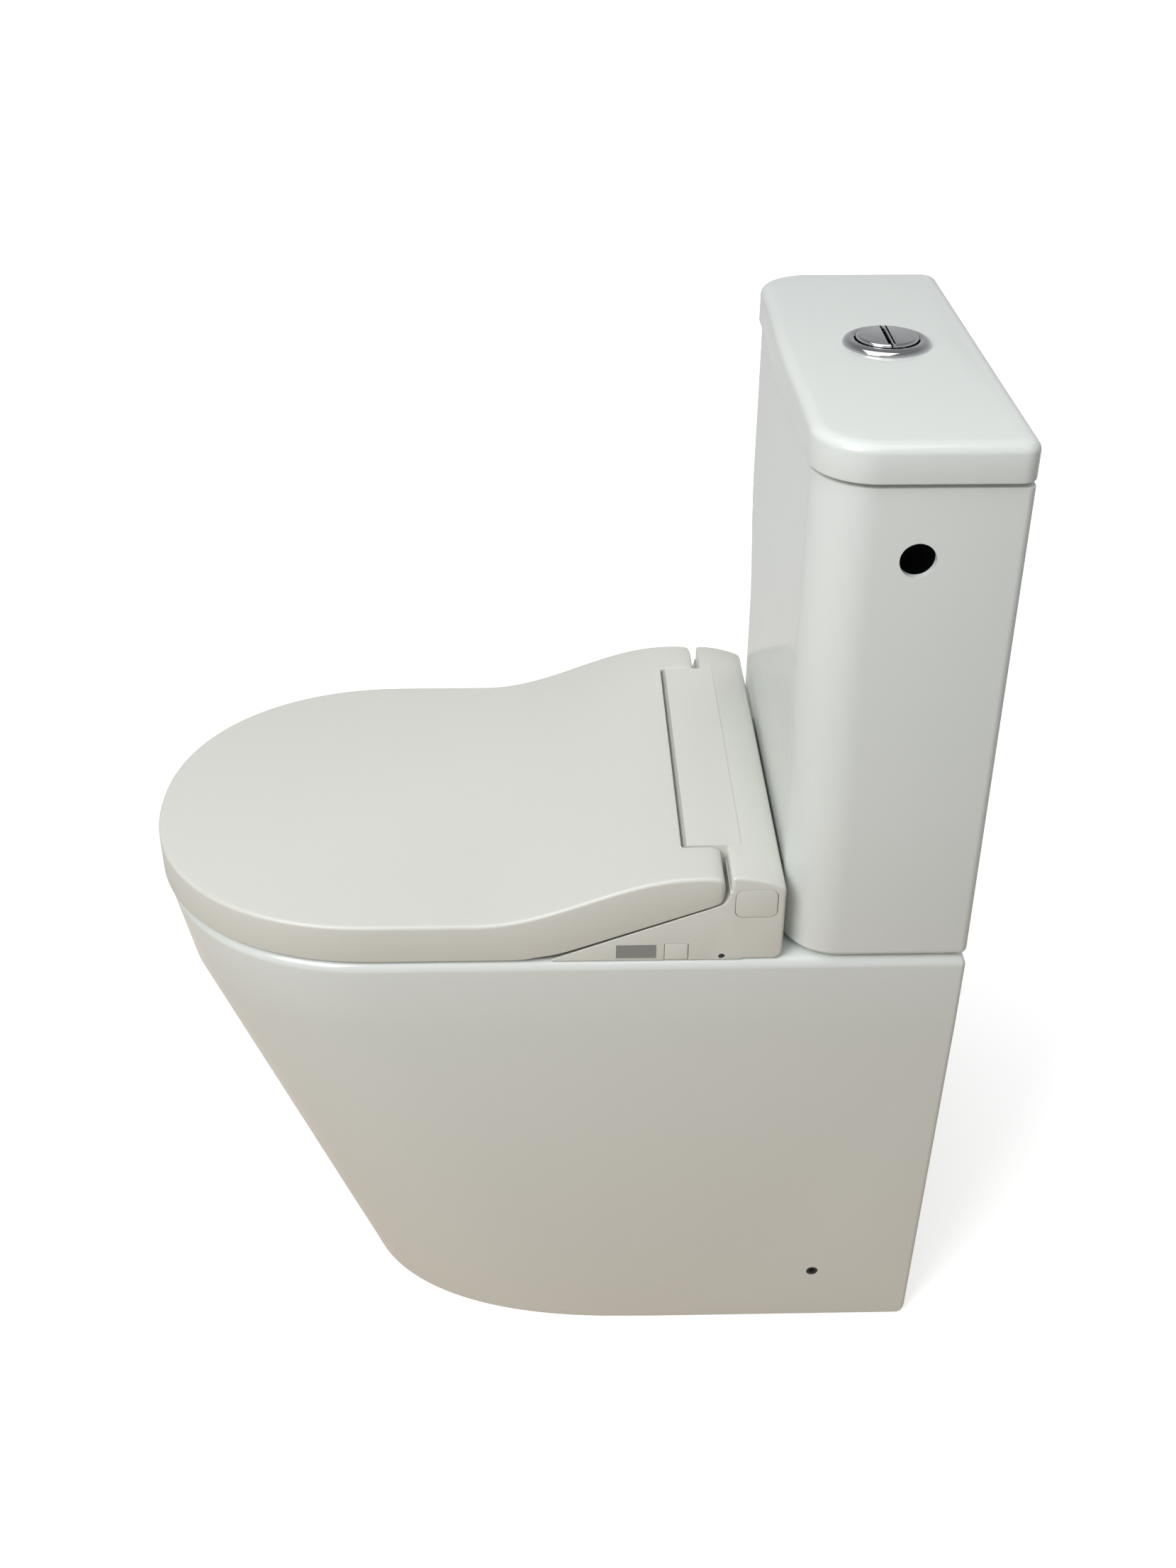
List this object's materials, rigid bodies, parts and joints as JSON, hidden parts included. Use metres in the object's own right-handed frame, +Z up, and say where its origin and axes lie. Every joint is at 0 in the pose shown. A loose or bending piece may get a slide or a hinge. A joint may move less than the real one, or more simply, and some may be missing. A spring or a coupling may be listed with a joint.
{
  "type": "close coupled toilet",
  "caption": "Back-to-wall close coupled toilet: skirted china pan, dual flush cistern and a soft-closing seat and lid on an electric wash housing.",
  "frame": {"origin": "on the floor under the centre of the whole suite", "axes": "+Z up, -Y towards the user (the front of the seat), +X to the side that carries the seat's release button; the wall is at the +Y end"},
  "size_m": [0.372, 0.632, 0.834],
  "materials": {
    "china": "glossy white vitreous china glaze",
    "seat_plastic": "satin moulded white plastic",
    "chrome_plastic": "bright plated",
    "fitting_plastic": "plain moulded white plastic",
    "grey_plastic": "plain moulded grey plastic",
    "float_plastic": "plain moulded blue plastic",
    "black_plastic": "plain moulded black plastic",
    "label_print": "dark grey film with no print",
    "rubber": "moulded",
    "white_rubber": "moulded",
    "seal_rubber": "moulded",
    "brass": "turned",
    "steel": "stainless",
    "board": "lacquered circuit board"
  },
  "bodies": {
    "suite": {"pan_skirt": "china", "pan_deck": "china", "pan_bowl": "china", "pan_trapway": "china", "pan_flush_channel": "china", "cistern_body": "china", "doughnut_washer": "rubber", "cistern_bolts": "brass", "cistern_bolt_washers": "rubber", "cistern_wing_nuts": "brass", "flush_valve_body": "fitting_plastic", "flush_valve_washer": "rubber", "flush_valve_nut": "fitting_plastic", "fill_valve_body": "fitting_plastic", "fill_valve_washer": "rubber", "fill_valve_nut": "fitting_plastic", "seat_plate": "grey_plastic", "seat_bolts": "steel", "seat_bushes": "rubber", "housing_base": "fitting_plastic", "housing_cover": "seat_plastic", "housing_side_caps": "seat_plastic", "blank_label": "label_print", "hinge_dampers": "grey_plastic", "wand_guide": "grey_plastic", "wand_motors": "grey_plastic", "water_heater": "fitting_plastic", "inlet_valve": "fitting_plastic", "control_board": "board", "cable_gland": "black_plastic"},
    "seat_ring": {"seat_ring": "seat_plastic", "seat_ring_base": "seat_plastic", "ring_buffers": "white_rubber", "ring_hinge_pin": "steel"},
    "seat_lid": {"seat_lid": "seat_plastic", "lid_buffers": "white_rubber", "lid_hinge_pin": "steel"},
    "cistern_lid": {"cistern_lid": "china", "button_ring": "chrome_plastic", "button_nut": "fitting_plastic", "full_flush_spring": "steel", "half_flush_spring": "steel"},
    "full_flush_button": {"full_flush_button": "chrome_plastic", "full_flush_rod": "fitting_plastic"},
    "half_flush_button": {"half_flush_button": "chrome_plastic", "half_flush_rod": "fitting_plastic"},
    "flush_core": {"flush_valve_core": "grey_plastic", "flush_valve_seal": "seal_rubber"},
    "flush_rocker": {"flush_rocker": "fitting_plastic"},
    "fill_float": {"fill_valve_float": "float_plastic"},
    "fill_lever": {"fill_valve_lever": "grey_plastic"},
    "rear_wand": {"rear_wand": "fitting_plastic"},
    "front_wand": {"front_wand": "fitting_plastic"},
    "release_button": {"release_button": "seat_plastic"}
  },
  "joints": [
    {"name": "ring_hinge", "type": "hinge", "parent": "suite", "child": "seat_ring", "pos_m": [0, 0.119, 0.4735], "axis": [-1, 0, 0], "range_deg": [0, 93]},
    {"name": "lid_hinge", "type": "hinge", "parent": "seat_ring", "child": "seat_lid", "pos_m": [0, 0.119, 0.4735], "axis": [1, 0, 0], "range_deg": [-98, 0]},
    {"name": "cistern_lid_lift", "type": "slide", "parent": "suite", "child": "cistern_lid", "axis": [0, 0, 1], "range_m": [0, 0.25]},
    {"name": "flush_core_lift", "type": "slide", "parent": "suite", "child": "flush_core", "axis": [0, 0, 1], "range_m": [0, 0.0102]},
    {"name": "full_flush_press", "type": "slide", "parent": "cistern_lid", "child": "full_flush_button", "axis": [0, 0, -1], "range_m": [0, 0.006], "stiffness_N_per_m": 700, "springref_m": -0.002, "deforming": ["full_flush_spring"]},
    {"name": "half_flush_press", "type": "slide", "parent": "cistern_lid", "child": "half_flush_button", "axis": [0, 0, -1], "range_m": [0, 0.006], "stiffness_N_per_m": 700, "springref_m": -0.002, "deforming": ["half_flush_spring"]},
    {"name": "flush_rocker_tilt", "type": "hinge", "parent": "suite", "child": "flush_rocker", "pos_m": [-0.012, 0.234, 0.702], "axis": [0, 1, 0], "range_deg": [0, 20]},
    {"name": "fill_float_drop", "type": "slide", "parent": "suite", "child": "fill_float", "axis": [0, 0, -1], "range_m": [0, 0.014]},
    {"name": "fill_lever_tilt", "type": "hinge", "parent": "suite", "child": "fill_lever", "pos_m": [-0.12, 0.246, 0.735], "axis": [0, 1, 0], "range_deg": [0, 22]},
    {"name": "rear_wand_slide", "type": "slide", "parent": "suite", "child": "rear_wand", "axis": [0, -0.848, -0.5299], "range_m": [0, 0.085]},
    {"name": "front_wand_slide", "type": "slide", "parent": "suite", "child": "front_wand", "axis": [0, -0.848, -0.5299], "range_m": [0, 0.085]},
    {"name": "release_press", "type": "slide", "parent": "suite", "child": "release_button", "axis": [-1, 0, 0], "range_m": [0, 0.003], "stiffness_N_per_m": 600, "springref_m": -0.002}
  ],
  "couplings": [
    {"joint": "full_flush_press", "follows": "flush_core_lift", "ratio": 0.58823},
    {"joint": "flush_rocker_tilt", "follows": "flush_core_lift", "rad_per_m": 33.529},
    {"joint": "fill_lever_tilt", "follows": "fill_float_drop", "rad_per_m": 26.316}
  ]
}
